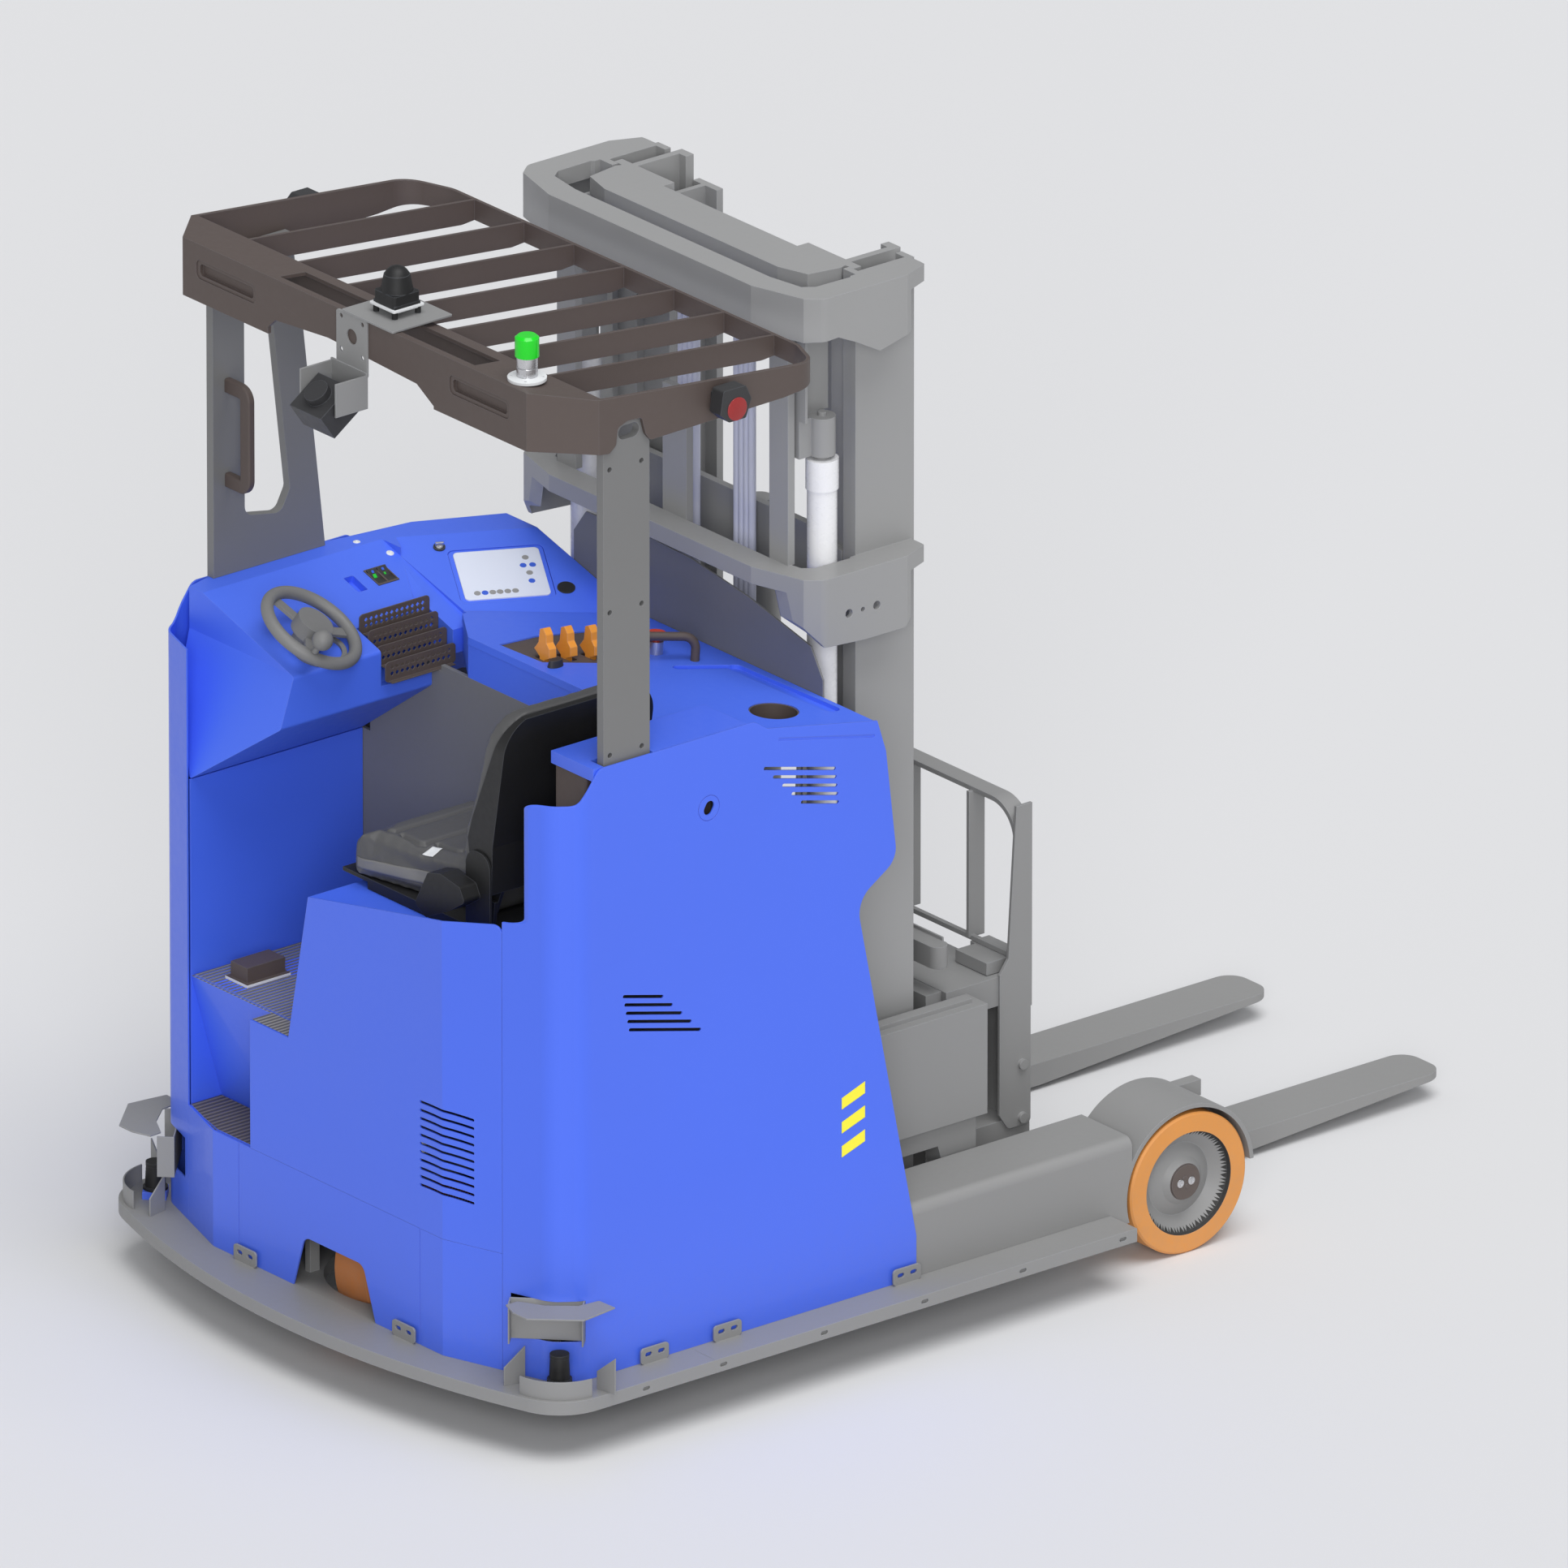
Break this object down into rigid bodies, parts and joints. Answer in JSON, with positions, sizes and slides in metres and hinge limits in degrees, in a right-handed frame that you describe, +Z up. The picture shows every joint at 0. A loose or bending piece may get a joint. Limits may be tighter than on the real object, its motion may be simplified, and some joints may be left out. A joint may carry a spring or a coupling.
{
  "type": "reach truck",
  "caption": "Autonomous reach truck with side-facing seat, overhead guard, three-stage mast on a reach carriage, forks, load wheels and corner scanners.",
  "frame": {"origin": "middle of the overall box on the floor, between the load wheels, drive wheel and castor", "axes": "+X towards the fork tips, +Y to the left side of the truck, +Z up"},
  "size_m": [2.6978, 1.463, 2.2997],
  "materials": {
    "blue_paint": "satin",
    "grey_paint": "satin",
    "mast_grey": "satin",
    "brown_coating": "matte",
    "dark_plastic": "matte",
    "blue_plastic": "satin",
    "grey_plastic": "satin",
    "lever_orange": "gloss",
    "stop_red": "gloss",
    "beacon_green": "gloss",
    "wheel_tyre": "matte",
    "drive_tread": "matte",
    "castor_rubber": "matte",
    "seat_fabric": "matte",
    "steel": "satin",
    "hose_rubber": "satin",
    "battery_case": "matte"
  },
  "bodies": {
    "chassis": {"base_frame": "grey_paint", "bumper_ring": "grey_paint", "right_leg": "grey_paint", "left_leg": "grey_paint", "right_side_panel": "blue_paint", "left_side_casing": "blue_paint", "rear_skirt": "blue_paint", "rear_cover": "blue_paint", "cab_floor": "grey_paint", "bulkhead": "grey_paint", "battery": "battery_case", "seat_platform": "blue_paint", "dash": "blue_plastic", "document_rack": "brown_coating", "dash_fittings": "dark_plastic", "console": "blue_plastic", "console_inserts": "brown_coating", "grab_bar": "brown_coating", "equipment_box": "brown_coating", "armrest_lid": "blue_paint", "overhead_guard": "brown_coating", "cab_posts": "grey_paint", "entry_handle": "brown_coating", "guard_lamps": "dark_plastic", "roof_sensors": "grey_paint", "beacon": "beacon_green", "corner_sensors": "grey_paint"},
    "right_wheel": {"right_load_wheel": "wheel_tyre"},
    "left_wheel": {"left_load_wheel": "wheel_tyre"},
    "drive_head": {"drive_unit": "steel"},
    "drive_roller": {"drive_wheel": "drive_tread"},
    "castor_swivel": {"castor_fork": "steel"},
    "castor_roller": {"castor_wheel": "castor_rubber"},
    "steering": {"steering_wheel": "grey_plastic"},
    "spinner": {"spinner_knob": "grey_plastic"},
    "rocker_left": {"rocker_switch_1": "dark_plastic"},
    "rocker_right": {"rocker_switch_2": "dark_plastic"},
    "key": {"key_switch": "steel"},
    "lever_1": {"hydraulic_lever_1": "lever_orange"},
    "lever_2": {"hydraulic_lever_2": "lever_orange"},
    "lever_3": {"hydraulic_lever_3": "lever_orange"},
    "lever_4": {"hydraulic_lever_4": "lever_orange"},
    "knob": {"function_knob": "dark_plastic"},
    "stop_button": {"emergency_stop": "stop_red"},
    "seat": {"seat_pan": "steel", "seat_cushion": "seat_fabric"},
    "backrest": {"backrest_shell": "dark_plastic", "backrest_pad": "seat_fabric"},
    "pedal": {"foot_pedal": "grey_plastic"},
    "camera": {"rear_camera": "dark_plastic"},
    "reach": {"reach_carriage": "grey_paint", "outer_mast": "mast_grey", "lift_cylinders": "steel"},
    "middle_stage": {"middle_mast": "mast_grey", "mast_hoses": "hose_rubber"},
    "inner_stage": {"inner_mast": "mast_grey"},
    "carriage": {"lift_carriage": "grey_paint"},
    "shifter": {"side_shifter": "grey_paint"},
    "fork_right": {"right_fork": "grey_paint"},
    "fork_left": {"left_fork": "grey_paint"}
  },
  "joints": [
    {"name": "right_wheel_spin", "type": "hinge", "parent": "chassis", "child": "right_wheel", "pos_m": [0.437, -0.585, 0.148], "axis": [0, 1, 0], "continuous": true},
    {"name": "left_wheel_spin", "type": "hinge", "parent": "chassis", "child": "left_wheel", "pos_m": [0.437, 0.585, 0.148], "axis": [0, 1, 0], "continuous": true},
    {"name": "drive_steer", "type": "hinge", "parent": "chassis", "child": "drive_head", "pos_m": [-1.008, 0, 0.404], "axis": [0, 0, 1], "range_deg": [-90, 90]},
    {"name": "drive_spin", "type": "hinge", "parent": "drive_head", "child": "drive_roller", "pos_m": [-1.008, 0, 0.1715], "axis": [0, 1, 0], "continuous": true},
    {"name": "castor_turn", "type": "hinge", "parent": "chassis", "child": "castor_swivel", "pos_m": [-0.944, -0.49, 0.232], "axis": [0, 0, 1], "continuous": true},
    {"name": "castor_spin", "type": "hinge", "parent": "castor_swivel", "child": "castor_roller", "pos_m": [-0.986, -0.49, 0.075], "axis": [0, 1, 0], "continuous": true},
    {"name": "steering_turn", "type": "hinge", "parent": "chassis", "child": "steering", "pos_m": [-1.008, 0.33, 1.397], "axis": [0.2634, -0.4636, 0.846], "continuous": true},
    {"name": "spinner_turn", "type": "hinge", "parent": "steering", "child": "spinner", "pos_m": [-1.06936, 0.25417, 1.37455], "axis": [0.2634, -0.4636, 0.846], "continuous": true},
    {"name": "rocker_left_tilt", "type": "hinge", "parent": "chassis", "child": "rocker_left", "pos_m": [-0.7306, 0.47243, 1.39086], "axis": [1, 0, 0], "range_deg": [-8, 8]},
    {"name": "rocker_right_tilt", "type": "hinge", "parent": "chassis", "child": "rocker_right", "pos_m": [-0.7054, 0.47243, 1.39086], "axis": [1, 0, 0], "range_deg": [-8, 8]},
    {"name": "key_turn", "type": "hinge", "parent": "chassis", "child": "key", "pos_m": [-0.56252, 0.48346, 1.40759], "axis": [-0.1403, -0.2634, 0.9544], "range_deg": [-90, 0]},
    {"name": "lever_1_tilt", "type": "hinge", "parent": "chassis", "child": "lever_1", "pos_m": [-0.69296, -0.011, 1.33415], "axis": [0.9975, 0, -0.07], "range_deg": [-10, 10], "stiffness_Nm_per_rad": 1.5},
    {"name": "lever_2_tilt", "type": "hinge", "parent": "chassis", "child": "lever_2", "pos_m": [-0.65006, -0.024, 1.33114], "axis": [0.9975, 0, -0.07], "range_deg": [-10, 10], "stiffness_Nm_per_rad": 1.5},
    {"name": "lever_3_tilt", "type": "hinge", "parent": "chassis", "child": "lever_3", "pos_m": [-0.60517, -0.044, 1.32799], "axis": [0.9975, 0, -0.07], "range_deg": [-10, 10], "stiffness_Nm_per_rad": 1.5},
    {"name": "lever_4_tilt", "type": "hinge", "parent": "chassis", "child": "lever_4", "pos_m": [-0.56128, -0.064, 1.32491], "axis": [0.9975, 0, -0.07], "range_deg": [-10, 10], "stiffness_Nm_per_rad": 1.5},
    {"name": "knob_turn", "type": "hinge", "parent": "chassis", "child": "knob", "pos_m": [-0.7061, -0.06, 1.36113], "axis": [0.07, 0, 0.9975], "range_deg": [-60, 60]},
    {"name": "stop_press", "type": "slide", "parent": "chassis", "child": "stop_button", "axis": [-0.07, 0, -0.9975], "range_m": [0, 0.005], "stiffness_N_per_m": 800},
    {"name": "seat_slide", "type": "slide", "parent": "chassis", "child": "seat", "axis": [0, 1, 0], "range_m": [-0.005, 0.11]},
    {"name": "backrest_tilt", "type": "hinge", "parent": "seat", "child": "backrest", "pos_m": [-0.949, -0.352, 1.046], "axis": [1, 0, 0], "range_deg": [-15, 2]},
    {"name": "pedal_press", "type": "hinge", "parent": "chassis", "child": "pedal", "pos_m": [-0.86, 0.296, 0.665], "axis": [1, 0, 0], "range_deg": [-14, 0], "stiffness_Nm_per_rad": 8, "springref_deg": 8.59},
    {"name": "camera_tilt", "type": "hinge", "parent": "chassis", "child": "camera", "pos_m": [-1.218, 0.01, 2.04], "axis": [0, 1, 0], "range_deg": [-10, 10]},
    {"name": "reach_slide", "type": "slide", "parent": "chassis", "child": "reach", "axis": [1, 0, 0], "range_m": [0, 0.44]},
    {"name": "middle_lift", "type": "slide", "parent": "reach", "child": "middle_stage", "axis": [0, 0, 1], "range_m": [0, 1.25]},
    {"name": "inner_lift", "type": "slide", "parent": "middle_stage", "child": "inner_stage", "axis": [0, 0, 1], "range_m": [0, 1.25]},
    {"name": "carriage_lift", "type": "slide", "parent": "inner_stage", "child": "carriage", "axis": [0, 0, 1], "range_m": [0, 1.14]},
    {"name": "side_shift", "type": "slide", "parent": "carriage", "child": "shifter", "axis": [0, 1, 0], "range_m": [-0.05, 0.05]},
    {"name": "right_fork_shift", "type": "slide", "parent": "shifter", "child": "fork_right", "axis": [0, 1, 0], "range_m": [0, 0.17]},
    {"name": "left_fork_shift", "type": "slide", "parent": "shifter", "child": "fork_left", "axis": [0, 1, 0], "range_m": [-0.17, 0]}
  ],
  "couplings": [
    {"joint": "inner_lift", "follows": "middle_lift", "ratio": 1}
  ]
}
